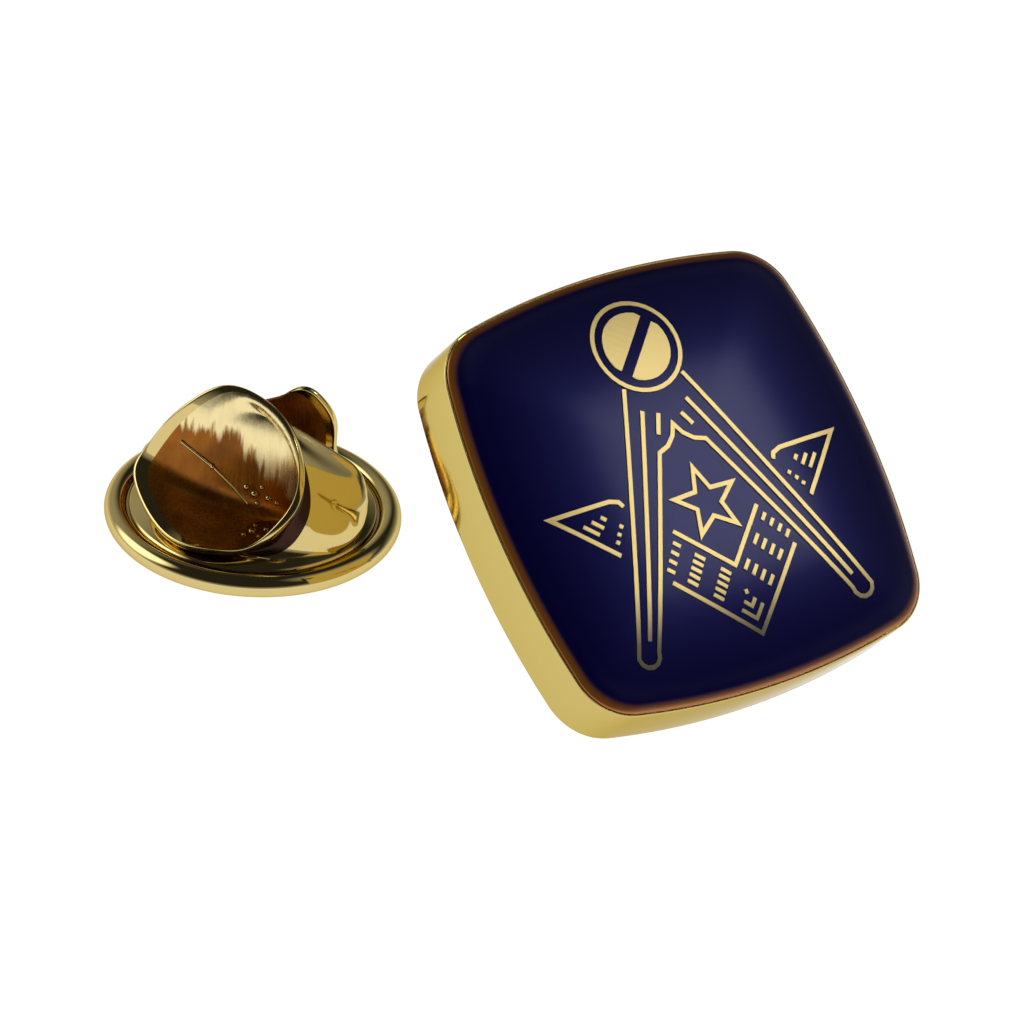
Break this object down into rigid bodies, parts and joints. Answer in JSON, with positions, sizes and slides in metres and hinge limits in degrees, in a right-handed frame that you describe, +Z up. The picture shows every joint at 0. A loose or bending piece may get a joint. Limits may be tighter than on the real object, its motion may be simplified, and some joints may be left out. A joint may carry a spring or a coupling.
{
  "type": "lapel pin",
  "caption": "Gold plated lapel pin: cushion-shaped badge with a domed navy enamel face, square and compasses in gold lines, a pointed post behind, and its butterfly clutch lying beside it.",
  "frame": {"origin": "on the surface the pin lies on, under the middle of badge and clutch together", "axes": "+X runs from the clutch to the badge, +Y away from the front, where the badge's face looks, +Z up"},
  "size_m": [0.0312, 0.0212, 0.0129],
  "materials": {
    "gold_plate": "polished gold plate",
    "gold_line": "pale polished gold under a clear coat",
    "navy_enamel": "very glossy dark blue enamel with a domed resin coat"
  },
  "bodies": {
    "root": {"setting": "gold_plate", "enamel_dome": "navy_enamel", "compasses_lines": "gold_line", "square_lines": "gold_line", "hinge_ring": "gold_line", "hinge_screw": "gold_line", "star_lines": "gold_line", "clutch_base": "gold_plate", "clutch_wings": "gold_plate"}
  },
  "joints": []
}
